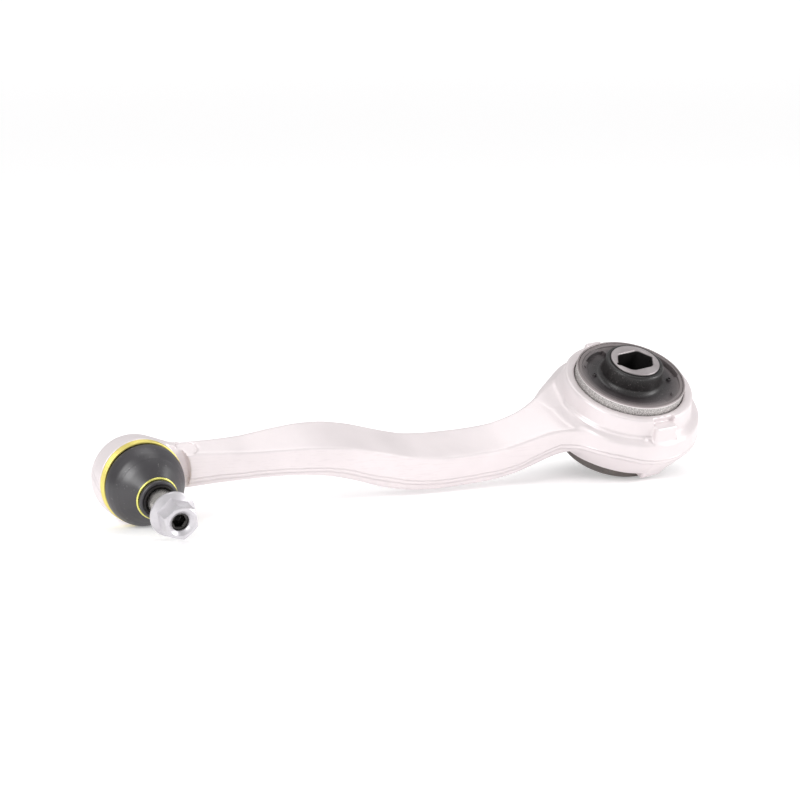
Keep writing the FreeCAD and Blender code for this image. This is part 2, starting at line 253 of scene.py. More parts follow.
# Gap between the can and the eye: along the bore, and above GAP_FOOT at its mouth.
CAN_GAP, MOUTH_GAP, GAP_FOOT = 0.12, 0.55, 12.5
EYE_LOW, EYE_HIGH = -23.0, 15.9
BELT_X, BELT_R = 1.0, 47.6
WALL_R, LEDGE_Z = 40.6, 5.2
LAND_HALF = 1.2
BEAD_R = 0.75
BEAD_MIDDLE, BEAD_HALF_SPAN = -136.0, 36.0
HOUSING_R, GROOVE_R, GROOVE_LOW = 24.3, 21.4, 0.8
HOUSING_BACK, NECK_END = -18.0, 6.6
RIB_TURN, FOOT_TURN = radians(-82.0), radians(-79.5)
PAD_TOP, PAD_FOOT, RIB_FOOT, RIB_ROOT_R = 12.4, -10.0, -27.4, 30.0
FAR_PAD_TOP = 16.9
NOTCH_HALF, NOTCH_FLOOR, NOTCH_IN, NOTCH_OUT = 7.4, 12.3, 36, 46
ROLL = atan2(-JOINTS["bush_twist"]["axis"][1], JOINTS["bush_twist"]["axis"][2])
EJECTOR_X, EJECTOR_R, EJECTOR_DEPTH = -279.0, 6.4, 1.1
SEAT_R, SHELL_R, MOUTH_R = 19.2, 17.0, 15.2

BEAM_STEP, SMOOTH_REACH, SMOOTH_WIDTH = 0.5, 30, 4.5
BEAM_X = np.linspace(-320, 60, 761)
SMOOTH = np.exp(-0.5 * (np.arange(-SMOOTH_REACH, SMOOTH_REACH + 1) * BEAM_STEP / SMOOTH_WIDTH) ** 2)
SMOOTH /= SMOOTH.sum()


def along_beam(column):
    """A station column spread over BEAM_X, with its corners smoothed."""
    raw = np.interp(BEAM_X, STATIONS[:, 0], column)
    return np.convolve(np.pad(raw, SMOOTH_REACH, mode="edge"), SMOOTH, mode="valid")


SIDE = HOUSING_MIDDLE * np.clip(-STATIONS[:, 0] / -BALL.x * MM, 0, 1)
MID_Y = along_beam(cos(ROLL) * SIDE + sin(ROLL) * STATIONS[:, 1])
MID_Z = along_beam(-sin(ROLL) * SIDE + cos(ROLL) * STATIONS[:, 1])
TOP_WIDTH = along_beam(STATIONS[:, 2])
WIDTH = along_beam(STATIONS[:, 3])
DEPTH = along_beam(STATIONS[:, 4])
# Height of the parting line round the eye: x, height.
EYE_PARTING = [(-44.0, -9.6), (-36.0, -8.2), (-28.0, -7.0), (-20.0, -6.8), (-10.0, -7.8), (4.0, -8.6),
               (30.0, -9.3)]
BEAM_END, EYE_START = -50.0, EYE_PARTING[0][0]


def parting_line():
    """Height of the parting line over BEAM_X: below the beam's middle, then round the eye."""
    on_beam, on_eye = BEAM_X < BEAM_END, BEAM_X > EYE_START
    beam = MID_Z + np.interp(BEAM_X, [-75, BEAM_END], [-0.16, 0.0]) * DEPTH
    eye = np.interp(BEAM_X, *zip(*EYE_PARTING))
    return np.interp(BEAM_X, np.r_[BEAM_X[on_beam], BEAM_X[on_eye]], np.r_[beam[on_beam], eye[on_eye]])


PARTING = parting_line()


def beam_at(x):
    """Middle in y and z, width of the top, width, depth, and height of the parting line."""
    return [np.interp(x, BEAM_X, v) for v in (MID_Y, MID_Z, TOP_WIDTH, WIDTH, DEPTH, PARTING)]


def beam_field(x, y, z):
    """Beam: flat top with crisp edges, sides that widen to the parting line, well rounded underneath."""
    mid_y, mid_z, top_width, width, depth, parting = beam_at(x)
    u, v = np.abs(y - mid_y), z - mid_z
    height = z - parting
    lean = (width - top_width) / 2 / (depth / 2 - parting + mid_z)
    upper = (u - width / 2 + (height - LAND_HALF) * lean) / np.sqrt(1 + lean * lean)
    lower = (u - width / 2 - (height + LAND_HALF) * 0.14) * 0.99
    side = np.maximum(np.maximum(upper, lower), u - width / 2 + 0.12)
    shape = convex(side, v - depth / 2, 1.5)
    shape = convex(shape, -v - depth / 2, 6.0)
    return convex(shape, np.maximum(-298.0 - x, x + 6.0), 1.0)


def eye_field(x, y, z):
    r = np.hypot(x, y)
    wall = convex((r - WALL_R + (z - LEDGE_Z) * 0.16) * 0.99, z - EYE_HIGH, 1.2)
    wall = np.maximum(wall, -12.0 - z)
    out = np.hypot(x - BELT_X, y)
    height = z - np.interp(x, BEAM_X, PARTING)
    upper = (out - BELT_R + (height - LAND_HALF) * 0.2) * 0.98
    lower = (out - BELT_R - (height + LAND_HALF) * 0.58) * 0.865
    side = np.maximum(np.maximum(upper, lower), out - BELT_R)
    belt = convex(side, (z - LEDGE_Z + (r - WALL_R) * 0.62) * 0.85, 0.9)
    belt = convex(belt, EYE_LOW - z, 1.0)
    eye = fillet(wall, belt, 1.2)
    azimuth = np.degrees(np.arctan2(y, x))
    thinning = 0.03 * np.maximum(np.abs(azimuth - BEAD_MIDDLE) - BEAD_HALF_SPAN, 0)
    bead = np.hypot(r - WALL_R - 0.3, z - LEDGE_Z) - BEAD_R + thinning
    blob = np.sqrt((x + 7.0) ** 2 + (y + 40.6) ** 2 + (z - 4.2) ** 2) - 1.5
    return fillet(eye, np.minimum(bead, blob), 0.7)


def rib_field(x, y, z):
    """Upright rib on the eye: a pad above the belt and a foot below."""
    out = x * cos(RIB_TURN) + y * sin(RIB_TURN)
    across = np.abs(-x * sin(RIB_TURN) + y * cos(RIB_TURN))
    pad = convex(across - 8.0 + 0.03 * z, out - 44.7 + 0.19 * z, 1.1)
    pad = convex(pad, z - PAD_TOP, 0.9)
    pad = np.maximum(pad, PAD_FOOT - z)
    out = x * cos(FOOT_TURN) + y * sin(FOOT_TURN)
    across = np.abs(-x * sin(FOOT_TURN) + y * cos(FOOT_TURN))
    foot = convex(across - 7.4 - 0.08 * (z + 27), out - 38.8 - 0.42 * (z + 27), 1.4)
    foot = convex(foot, RIB_FOOT - z, 1.3)
    foot = np.maximum(foot, z - PAD_FOOT)
    return np.maximum(np.minimum(pad, foot), RIB_ROOT_R - out)


def far_pad_field(x, y, z):
    """Low pad on the far side of the eye, opposite the rib, which stands a little above the wall."""
    out = -x * cos(RIB_TURN) - y * sin(RIB_TURN)
    across = np.abs(-x * sin(RIB_TURN) + y * cos(RIB_TURN))
    pad = convex(across - 5.6, out - 42.0 + 0.1 * z, 1.2)
    pad = convex(pad, z - FAR_PAD_TOP, 0.9)
    return np.maximum(np.maximum(pad, PAD_FOOT - z), RIB_ROOT_R - out)


def housing_place(x, y, z):
    """Distance from the housing's axis and height along it, from the ball's centre."""
    centre = BUSH.inverted() @ BALL
    axis = (BUSH.inverted().to_3x3() @ HOUSING.to_3x3() @ Vector((0, 0, 1))).normalized()
    dx, dy, dz = x - centre.x, y - centre.y, z - centre.z
    height = dx * axis.x + dy * axis.y + dz * axis.z
    return np.sqrt(np.maximum(dx * dx + dy * dy + dz * dz - height * height, 0)), height


def arm_field(x, y, z):
    """The whole forging: beam, ball housing and eye, with its bores, notch and ejector mark."""
    r, h = housing_place(x, y, z)
    beam = beam_field(x, y, z)
    mid_y, mid_z, _, _, depth, _ = beam_at(EJECTOR_X)
    from_mark = np.hypot(x - EJECTOR_X, y - mid_y) - EJECTOR_R
    ejector = convex(from_mark, np.abs(z - mid_z - depth / 2) - EJECTOR_DEPTH, 0.2)
    beam = convex(beam, -ejector, 0.25)
    barrel = convex(r - HOUSING_R, h - GROOVE_LOW, 0.5)
    barrel = convex(barrel, HOUSING_BACK - h, 0.8)
    barrel = convex(barrel, (r - 22.4 - (h - HOUSING_BACK) * 0.45) * 0.91, 2.0)
    shape = fillet(beam, barrel, 5.0)
    relief = convex(np.maximum(HOUSING_R - r, r - 29.5), -1.5 - h, 0.8)
    shape = convex(shape, -relief, 0.4)
    neck = np.maximum(r - GROOVE_R, h - NECK_END)
    shape = np.minimum(shape, np.maximum(neck, -h))
    eye = fillet(eye_field(x, y, z), np.minimum(rib_field(x, y, z), far_pad_field(x, y, z)), 1.2)
    shape = fillet(shape, eye, 5.0 + 11.0 * np.clip(y / 20.0, 0, 1))
    out = x * cos(RIB_TURN) + y * sin(RIB_TURN)
    across = np.abs(-x * sin(RIB_TURN) + y * cos(RIB_TURN))
    notch = np.maximum(across - NOTCH_HALF, NOTCH_FLOOR - z)
    notch = np.maximum(notch, np.maximum(NOTCH_IN - out, out - NOTCH_OUT))
    shape = convex(shape, -notch, 0.5)
    clearance = np.where(z > GAP_FOOT, MOUTH_GAP, CAN_GAP)
    shape = convex(shape, CAN_R + clearance - np.hypot(x, y), 0.35)
    bore = np.where(h < -13.6, SEAT_R, np.where(h < 4.0, SHELL_R, MOUTH_R))
    return np.maximum(shape, bore - r)


# ---- materials ----------------------------------------------------------------------------------
class Shader:
    """Short names for building one material's nodes."""

    def __init__(self, name, **settings):
        self.material = bpy.data.materials.new(name)
        self.material.use_nodes = True
        self.tree = self.material.node_tree
        self.main = self.tree.nodes["Principled BSDF"]
        for key, value in settings.items():
            self.main.inputs[key.replace("_", " ")].default_value = value
        coordinates = self.tree.nodes.new("ShaderNodeTexCoord")
        self.place, self.normal = coordinates.outputs["Object"], coordinates.outputs["Normal"]

    def node(self, kind, inputs=(), **settings):
        made = self.tree.nodes.new("ShaderNode" + kind)
        for key, value in settings.items():
            setattr(made, key, value)
        for key, value in dict(inputs).items():
            if isinstance(value, bpy.types.NodeSocket):
                self.tree.links.new(value, made.inputs[key])
            else:
                made.inputs[key].default_value = value
        return made

    def stretched(self, scale, turn=(0, 0, 0)):
        """Object coordinates in the bush's frame, stretched by scale."""
        turned = self.node("Mapping", {"Vector": self.place, "Rotation": turn}).outputs[0]
        return self.node("Mapping", {"Vector": turned, "Scale": scale}).outputs[0]

    def noise(self, scale, detail=4.0, rough=0.55, at=None):
        return self.node("TexNoise", {"Vector": at or self.place, "Scale": scale, "Detail": detail,
                                      "Roughness": rough}).outputs["Fac"]

    def ramp(self, value, stops):
        made = self.node("ValToRGB", {"Fac": value})
        points = made.color_ramp.elements
        while len(points) < len(stops):
            points.new(0.5)
        for point, (position, colour) in zip(points, stops):
            point.position = position
            point.color = (*colour, 1) if len(colour) == 3 else colour
        return made.outputs["Color"]

    def levels(self, value, low, high, out_low, out_high):
        return self.node("MapRange", {"Value": value, "From Min": low, "From Max": high,
                                      "To Min": out_low, "To Max": out_high}).outputs[0]

    def maths(self, how, a, b=0.0):
        return self.node("Math", {0: a, 1: b}, operation=how).outputs[0]

    def bump(self, height, strength, distance, below=None):
        inputs = {"Height": height, "Strength": strength, "Distance": distance}
        if below is not None:
            inputs["Normal"] = below
        return self.node("Bump", inputs).outputs[0]

    def mixed(self, factor, under, over):
        made = self.node("Mix", {0: factor, 6: under}, data_type="RGBA")
        made.inputs[7].default_value = (*over, 1)
        return made.outputs[2]

    def about_bush(self):
        """Distance from the bush's axis and height along it, in metres."""
        turned = self.node("Mapping", {"Vector": self.place, "Rotation": (-ROLL, 0, 0)}).outputs[0]
        parts = self.node("SeparateXYZ", {0: turned}).outputs
        flat = self.node("CombineXYZ", {0: parts[0], 1: parts[1]}).outputs[0]
        return self.node("VectorMath", {0: flat}, operation="LENGTH").outputs["Value"], parts[2]

    def link(self, value, socket):
        self.tree.links.new(value, self.main.inputs[socket])


def grey(value, tint=(1, 1, 1)):
    return tuple(value * t for t in tint)


def forged_aluminium():
    """Shot-blasted forging: fine grain, soft waves, long trim marks, ridges along its flash land, and a line of
    painted shade just below the land.
    """
    s = Shader("forged_aluminium", Metallic=0.3, Roughness=0.4)
    cloud = s.noise(28.0, 5.0)
    grain = s.noise(900.0, 3.0)
    lines = s.noise(1.0, 4.0, 0.6, at=s.stretched((4.5, 1200.0, 1200.0), (-ROLL, 0, 0)))
    axis = tuple(JOINTS["bush_twist"]["axis"])
    upright = s.node("VectorMath", {0: s.normal, 1: axis}, operation="DOT_PRODUCT").outputs["Value"]
    side = s.levels(s.maths("ABSOLUTE", upright), 0.3, 0.75, 1.0, 0.0)
    beam = s.levels(s.node("SeparateXYZ", {0: s.place}).outputs[0], -0.05, -0.07, 0.0, 1.0)
    land = s.node("Attribute", attribute_name="land").outputs["Fac"]
    wander = s.levels(s.noise(45.0, 2.0), 0.3, 0.7, -0.5, 0.5)
    height = s.maths("ADD", land, wander)
    from_edge = s.maths("ABSOLUTE", s.maths("SUBTRACT", s.maths("ABSOLUTE", height), LAND_HALF))
    ridge = s.maths("MULTIPLY", s.levels(from_edge, 0.0, 0.5, 1.0, 0.0), side)
    # Painted shade: a thin dark line on the side faces just below the flash land.
    from_shade_line = s.maths("ABSOLUTE", s.maths("ADD", height, LAND_HALF + 0.75))
    painted_shade_line = s.levels(from_shade_line, 0.0, 0.4, 1.0, 0.0)
    plain = s.ramp(cloud, [(0.3, (0.70, 0.642, 0.65)), (0.7, (0.77, 0.707, 0.716))])
    marks = s.maths("MULTIPLY", s.maths("MULTIPLY", s.levels(lines, 0.36, 0.46, 0.14, 0.0), side), beam)
    # Real trim marks, together with the painted shade line at half strength.
    marks_and_painted_shade = s.maths("MAXIMUM", marks, s.maths("MULTIPLY", s.maths("MULTIPLY", painted_shade_line, side), 0.5))
    s.link(s.mixed(marks_and_painted_shade, plain, (0.5, 0.44, 0.45)), "Base Color")
    rough = s.maths("ADD", s.levels(cloud, 0.3, 0.7, 0.32, 0.45), s.levels(grain, 0.3, 0.7, -0.04, 0.04))
    s.link(rough, "Roughness")
    fine = s.bump(grain, 0.25, 0.00012)
    waves = s.bump(s.noise(70.0, 3.0), 0.22, 0.0006, fine)
    drawn = s.bump(lines, s.maths("MULTIPLY", s.levels(side, 0, 1, 0.0, 0.3), beam), 0.0002, waves)
    s.link(s.bump(ridge, 0.8, 0.0004, drawn), "Normal")
    return s.material


def speckled_can():
    """Grainy pale wall, a painted highlight along the foot of the lip, and a smooth dark lip above it."""
    s = Shader("speckled_can", Metallic=0.7, Roughness=0.5)
    speck = s.node("TexVoronoi", {"Vector": s.place, "Scale": 1900.0}).outputs["Distance"]
    grain = s.noise(1700.0, 2.0, 0.7)
    tone = s.maths("MULTIPLY", s.levels(speck, 0.1, 0.6, 0.6, 1.0), s.levels(grain, 0.35, 0.65, 0.65, 1.1))
    wall = s.ramp(tone, [
        (0.45, (0.17, 0.162, 0.158)), (0.7, (0.35, 0.334, 0.325)), (0.95, (0.66, 0.64, 0.625))])
    radius, height = s.about_bush()
    lip_foot = 0.0206
    above = s.levels(height, lip_foot, 0.021, 0.0, 1.0)
    lip = s.maths("MAXIMUM", above, s.levels(radius, 0.0328, 0.0326, 0.0, 1.0))
    # Painted highlight: a thin bright band round the can at the foot of the lip.
    edge = s.levels(s.maths("ABSOLUTE", s.maths("SUBTRACT", height, lip_foot)), 0.0002, 0.0004, 0.8, 0.0)
    s.link(s.mixed(edge, s.mixed(lip, wall, (0.34, 0.3, 0.3)), (0.8, 0.76, 0.76)), "Base Color")
    s.link(s.levels(grain, 0.3, 0.7, 0.35, 0.6), "Roughness")
    s.link(s.bump(tone, s.levels(lip, 0, 1, 0.6, 0.1), 0.0002), "Normal")
    return s.material


def turned_sleeve():
    """Pale turned end faces; painted shade makes all below them dark, inside the hole too."""
    s = Shader("turned_sleeve", Metallic=0.6, Roughness=0.42)
    cloud = s.noise(90.0, 4.0)
    fine = s.noise(2600.0, 2.0, 0.6)
    radius, height = s.about_bush()
    # Painted shade: everything deeper than the end faces is dark, the hole's inside too.
    painted_hole_shade = s.levels(s.maths("ABSOLUTE", height), 0.0318, 0.0312, 0.0, 1.0)
    face = s.ramp(cloud, [(0.3, (0.31, 0.28, 0.285)), (0.7, (0.43, 0.395, 0.4))])
    s.link(s.mixed(painted_hole_shade, face, (0.03, 0.027, 0.027)), "Base Color")
    s.link(s.levels(fine, 0.3, 0.7, 0.36, 0.5), "Roughness")
    s.link(s.bump(fine, 0.25, 0.0001), "Normal")
    return s.material


def bush_top_rubber():
    """Tone that grows lighter from the black hub across the floor to the outer band, with specks of dust and a
    soft gloss.
    """
    s = Shader("bush_top_rubber", Roughness=0.34, Specular_IOR_Level=0.5)
    radius, height = s.about_bush()
    cloud = s.noise(90.0, 4.0)
    tone = s.maths("ADD", radius, s.levels(cloud, 0.3, 0.7, -0.0005, 0.0005))
    # Darker towards the hub, lighter towards the outer band.
    base = s.ramp(s.levels(tone, 0.016, 0.032, 0.0, 1.0), [
        (0.1, (0.012, 0.0105, 0.0105)), (0.3, (0.02, 0.017, 0.018)), (0.55, (0.045, 0.038, 0.04)),
        (0.74, (0.1, 0.086, 0.088)), (0.84, (0.17, 0.147, 0.148)), (1.0, (0.2, 0.173, 0.173))])
    dust = s.levels(s.noise(1500.0, 2.0, 0.7), 0.62, 0.72, 0.0, 0.45)
    s.link(s.mixed(dust, base, (0.34, 0.31, 0.31)), "Base Color")
    s.link(s.levels(cloud, 0.3, 0.7, 0.27, 0.42), "Roughness")
    s.link(s.bump(s.noise(1500.0, 3.0), 0.2, 0.0001, s.bump(s.noise(300.0, 3.0), 0.15, 0.0002)), "Normal")
    return s.material


def ground_stud():
    """Bright ground shank, dark thread and end."""
    s = Shader("ground_stud", Metallic=1.0, Roughness=0.25)
    along = s.node("VectorMath", {0: s.place, 1: tuple(BALL)}, operation="SUBTRACT").outputs["Vector"]
    axis = tuple(JOINTS["stud_spin"]["axis"])
    height = s.node("VectorMath", {0: along, 1: axis}, operation="DOT_PRODUCT").outputs["Value"]
    cloud = s.noise(90.0, 4.0)
    scratch = s.noise(2200.0, 2.0, 0.6)
    wander = s.levels(cloud, 0.3, 0.7, -0.001, 0.001)
    dark = s.levels(s.maths("ADD", height, wander), 0.0435, 0.0445, 0.0, 1.0)
    bright = s.ramp(cloud, [(0.3, (0.45, 0.43, 0.41)), (0.7, (0.66, 0.63, 0.6))])
    s.link(s.mixed(dark, bright, (0.05, 0.047, 0.046)), "Base Color")
    s.link(s.levels(scratch, 0.3, 0.7, 0.18, 0.34), "Roughness")
    s.link(s.bump(scratch, 0.3, 0.0001), "Normal")
    return s.material


def rubber(name, dark, light, roughness, bump=0.3, scale=260.0, gloss=0.6):
    """Moulded rubber with two soft scales of bump and a few specks of dust."""
    s = Shader(name, Roughness=roughness, Specular_IOR_Level=gloss)
    cloud = s.noise(60.0, 4.0)
    grain = s.noise(scale * 6, 3.0)
    dust = s.levels(s.noise(420.0, 2.0, 0.8), 0.66, 0.74, 0.0, 0.35)
    base = s.ramp(cloud, [(0.3, dark), (0.7, light)])
    s.link(s.mixed(dust, base, (0.3, 0.29, 0.29)), "Base Color")
    s.link(s.levels(cloud, 0.3, 0.7, roughness - 0.05, roughness + 0.07), "Roughness")
    s.link(s.bump(grain, bump, 0.00012, s.bump(s.noise(scale, 3.0), bump, 0.0003)), "Normal")
    return s.material


def turned_steel(name, colour, roughness=0.34, metallic=0.9, rings=2600.0):
    """Machined steel: fine grain, faint stains."""
    s = Shader(name, Metallic=metallic, Roughness=roughness)
    cloud = s.noise(90.0, 4.0)
    fine = s.noise(rings, 2.0, 0.6)
    s.link(s.ramp(cloud, [(0.3, grey(0.82, colour)), (0.7, grey(1.05, colour))]), "Base Color")
    s.link(s.levels(fine, 0.3, 0.7, roughness - 0.07, roughness + 0.09), "Roughness")
    s.link(s.bump(fine, 0.25, 0.0001), "Normal")
    return s.material


def zinc_plate(name, colour, roughness=0.3, metallic=0.85, grain=0.06):
    """Plated spring wire or fastener: slightly mottled colour, soft gloss, grain only if it is asked for."""
    s = Shader(name, Metallic=metallic, Roughness=roughness)
    cloud = s.noise(240.0, 4.0, 0.6)
    spots = s.noise(1400.0, 2.0)
    s.link(s.ramp(cloud, [(0.28, grey(0.92, colour)), (0.72, grey(1.04, colour))]), "Base Color")
    s.link(s.levels(spots, 0.3, 0.7, roughness - 0.05, roughness + 0.07), "Roughness")
    if grain:
        s.link(s.bump(spots, grain, 0.00005), "Normal")
    return s.material


def plain_stuff(name, colour, roughness=0.5, metallic=0.0):
    """Plain moulded or liquid stuff, for pieces that are mostly hidden."""
    s = Shader(name, Metallic=metallic, Roughness=roughness)
    cloud = s.noise(180.0, 3.0)
    s.link(s.ramp(cloud, [(0.3, grey(0.88, colour)), (0.7, grey(1.08, colour))]), "Base Color")
    s.link(s.levels(cloud, 0.3, 0.7, roughness - 0.06, roughness + 0.06), "Roughness")
    s.link(s.bump(s.noise(900.0, 3.0), 0.2, 0.0001), "Normal")
    return s.material


MATERIALS = {
    "arm": forged_aluminium(),
    "can": speckled_can(),
    "sleeve": turned_sleeve(),
    "bush_rubber": rubber("bush_rubber", (0.018, 0.017, 0.018), (0.032, 0.03, 0.031), 0.42),
    "end_ring": bush_top_rubber(),
    "low_ring": rubber("low_ring_rubber", (0.09, 0.078, 0.072), (0.14, 0.12, 0.11), 0.6),
    "plastic": plain_stuff("dark_plastic", (0.05, 0.05, 0.055)),
    "cage": turned_steel("sheet_steel", (0.5, 0.49, 0.48)),
    "fluid": plain_stuff("glycol", (0.45, 0.55, 0.25), 0.15),
    "shell": plain_stuff("bearing_plastic", (0.75, 0.73, 0.68), 0.4),
    "cover": zinc_plate("plated_cover", (0.62, 0.62, 0.62), 0.32),
    "grease": plain_stuff("amber_grease", (0.5, 0.3, 0.1), 0.25),
    "boot": rubber("boot_rubber", (0.014, 0.0115, 0.015), (0.02, 0.017, 0.022), 0.38, 0.1, 120.0, 0.9),
    "large_clip": zinc_plate("yellow_clip", (0.8, 0.69, 0.2), 0.36, 0.7, 0.0),
    "small_clip": zinc_plate("pale_yellow_clip", (0.84, 0.8, 0.22), 0.28),
    "collar": turned_steel("dark_collar", (0.03, 0.028, 0.028), 0.5),
    "stud": ground_stud(),
    "nut": zinc_plate("bright_zinc", (0.6, 0.58, 0.605), 0.36, 0.65, 0.0),
}


def dress(piece, slot):
    piece.data.materials.clear()
    piece.data.materials.append(MATERIALS[slot])
    return piece


def finish_piece(piece, slot, body, *nodes):
    dress(piece, slot)
    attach(piece, body)
    if nodes:
        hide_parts(*nodes)
    return piece


def dress_cad_nodes():
    """Each CAD node gets the full material of its slot."""
    slots = {s["node"]: s["material_slot"] for s in frame["record"]["subparts"]}
    for name, node in frame["nodes"].items():
        for place in node.material_slots:
            place.material = MATERIALS[slots[name]]


# ---- pieces -------------------------------------------------------------------------------------
def mark_land(arm):
    """Stores each vertex's height from the parting line, in mm, for the forging's material."""
    verts = np.empty(len(arm.data.vertices) * 3)
    arm.data.vertices.foreach_get("co", verts)
    local = verts.reshape(-1, 3) @ np.array(BUSH.inverted().to_3x3()).T
    height = local[:, 2] - np.interp(local[:, 0], BEAM_X, PARTING)
    arm.data.attributes.new("land", "FLOAT", "POINT").data.foreach_set("value", height)


def make_arm():
    low, high = (-334.0, -50.0, -46.0), (50.0, 50.0, 19.0)
    cell = 0.72
    arm = field_piece("forged_arm", arm_field, low, high, cell, BUSH, faces_kept=190000)
    mark_land(arm)
    finish_piece(arm, "arm", "arm", "arm_forging")


def make_can():
    """Plain tube whose rim is rolled in over the rubber."""
    top = 21.5
    can = lathe("bush_can", rounded([
        (31.0, -22.4), (CAN_R, -22.4), (CAN_R, top, 0.5), (32.1, top, 0.4), (32.0, top - 1.8),
        (31.0, top - 2.6)], 0.15), BUSH, 220)
    finish_piece(can, "can", "arm", "bush_outer_can")


def arc_cut(x, y, z, turn, half_span, r_in, r_out, low, high, r=0.3):
    """Ring segment centred on turn degrees."""
    a = radians(turn)
    radius = np.hypot(x, y)
    angle = np.arctan2(-x * sin(a) + y * cos(a), x * cos(a) + y * sin(a))
    shape = convex(np.abs(radius - (r_in + r_out) / 2) - (r_out - r_in) / 2,
                   (np.abs(angle) - radians(half_span)) * radius, r)
    return convex(shape, np.abs(z - (low + high) / 2) - (high - low) / 2, r)


# Moulded dots on the bush's top: azimuth, distance out, radius.
PIPS = [(154.0, 28.2, 1.05), (169.0, 22.9, 1.15), (-15.4, 23.8, 1.5), (-49.7, 26.8, 0.85)]
FLOOR_Z = 19.3
BRIM_FOOT, BRIM_TOP, BRIM_R = 19.75, 20.9, 31.9
HUB_R, HUB_TOP = 18.0, 30.9


def top_ring_field(x, y, z):
    """Rubber top of the bush: outer band, shallow inner floor, and the upright hub round the sleeve."""
    r = np.hypot(x, y)
    body = convex(r - np.where(z > BRIM_FOOT, BRIM_R, 30.9), z - BRIM_TOP, 0.4)
    basin = convex(r - 29.8, FLOOR_Z - z, 0.4)
    body = convex(body, -basin, 0.35)
    hub = convex((r - HUB_R + (z - 22.0) * 0.06) * 0.99, z - HUB_TOP, 1.3)
    body = fillet(body, hub, 3.2)
    band = arc_cut(x, y, z, 200.0, 92.0, 26.4, 30.2, FLOOR_Z - 1, FLOOR_Z + 0.8, 0.4)
    body = fillet(body, band, 0.3)
    body = convex(body, -arc_cut(x, y, z, 120.5, 20.0, 21.6, 27.9, FLOOR_Z - 2.3, FLOOR_Z + 3, 0.15), 0.15)
    body = convex(body, -arc_cut(x, y, z, 13.0, 21.0, 27.9, 30.6, FLOOR_Z - 2.1, FLOOR_Z + 3, 0.15), 0.15)
    for turn, out, size in PIPS:
        a = radians(turn)
        dot = np.hypot(x - out * cos(a), y - out * sin(a))
        body = fillet(body, convex(dot - size, np.abs(z - FLOOR_Z) - 1.5, 0.3), 0.25)
        body = np.maximum(body, -np.maximum(dot - 0.55 * size, FLOOR_Z + 0.3 - z))
    return np.maximum(np.maximum(body, 15.1 - r), 15.8 - z)


def make_bush_top():
    cell = 0.3
    ring = field_piece("bush_rubber_top", top_ring_field, (-32, -32, 15), (32, 32, 32), cell, BUSH, 150000)
    finish_piece(ring, "end_ring", "arm", "bush_top_ring", "bush_rubber")


def make_bottom_ring():
    ring = lathe("bush_end_ring", rounded([
        (15.4, -22.6), (32.75, -22.6), (32.75, -29.9), (31.4, -31.8, 1.0), (27.5, -31.8), (26.6, -30.6),
        (21.5, -30.6, 1.5), (19.0, -29.4, 0.8), (15.4, -29.4)], 0.3), BUSH, 200)
    finish_piece(ring, "low_ring", "arm", "bush_bottom_ring")


SLOT_TURN = radians(10.0)
SLEEVE_R, SLEEVE_HALF = 15.0, 32.0


def sleeve_field(x, y, z):
    """Sleeve with an oblong six-sided hole, a small notch beside it, and chamfered mouths."""
    u = np.abs(x * cos(SLOT_TURN) + y * sin(SLOT_TURN))
    v = np.abs(-x * sin(SLOT_TURN) + y * cos(SLOT_TURN))
    hole = convex(v - 8.0, (u - 12.5) * 0.84 + v * 0.535, 1.6)
    mouth = hole - np.maximum(np.abs(z) - SLEEVE_HALF + 0.7, 0)
    r = np.hypot(x, y)
    body = convex(r - SLEEVE_R, np.abs(z) - SLEEVE_HALF, 1.2)
    notch = np.maximum(np.hypot(x * cos(SLOT_TURN) + y * sin(SLOT_TURN) + 12.3, v) - 1.4, 29.5 - np.abs(z))
    return np.maximum(body, -np.minimum(mouth, notch))


def make_sleeve():
    cell = 0.4
    low, high = (-16, -16, -33), (16, 16, 33)
    sleeve = field_piece("inner_sleeve", sleeve_field, low, high, cell, BUSH, 120000, 35.0)
    finish_piece(sleeve, "sleeve", "bush_core", "bush_inner_sleeve")


def coil_ring(name, radius, wire, pitch, turns, middle, matrix, overlap=14.0):
    """Spring-wire ring of a few close turns."""
    steps, around = int(150 * turns), 14
    verts, faces = [], []
    span = 2 * pi * turns + radians(overlap)
    for i in range(steps + 1):
        a = span * i / steps
        z = middle + pitch * (a / (2 * pi) - turns / 2)
        taper = min(1.0, 0.25 + 4.0 * min(i, steps - i) / 10)
        for k in range(around):
            b = 2 * pi * k / around
            r = radius + wire * taper * cos(b)
            verts.append((r * cos(a), r * sin(a), z + wire * taper * sin(b)))
    for i in range(steps):
        for k in range(around):
            m = (k + 1) % around
            faces.append((i * around + k, (i + 1) * around + k, (i + 1) * around + m, i * around + m))
    faces.append(tuple(range(around)))
    faces.append(tuple(steps * around + k for k in reversed(range(around))))
    return new_piece(name, verts, faces, matrix, 60.0)


def make_clips():
    large = coil_ring("large_clip_ring", 23.15, 0.85, 1.72, 2.9, 3.5, HOUSING)
    finish_piece(large, "large_clip", "arm", "boot_large_clip")
    small = coil_ring("small_clip_ring", 11.5, 0.74, 1.2, 1, 27.0, STUD)
    finish_piece(small, "small_clip", "boot_neck", "boot_small_clip")


# Boot outline: share of the way from the housing to the stud's neck, outer radius.
BOOT_LINE = [
    (-0.02, 22.1), (0.06, 22.2), (0.15, 22.2), (0.18, 23.1), (0.24, 23.3), (0.36, 22.7), (0.5, 21.2),
    (0.62, 19.1), (0.73, 16.7), (0.83, 14.1), (0.91, 12.0), (0.955, 10.9), (1.0, 10.75), (1.05, 10.75),
    (1.085, 11.3), (1.13, 11.5), (1.17, 11.1), (1.185, 10.5), (1.18, 9.6)]
BOOT_LOW, BOOT_HIGH = 2.2, 26.4
STUD_AXIS = JOINTS["stud_spin"]["axis"]
STUD_DROOP = degrees(atan2(-STUD_AXIS[2], -STUD_AXIS[1]))
BOOT_SEAM = 0.62


BOOT_SPAN = 24


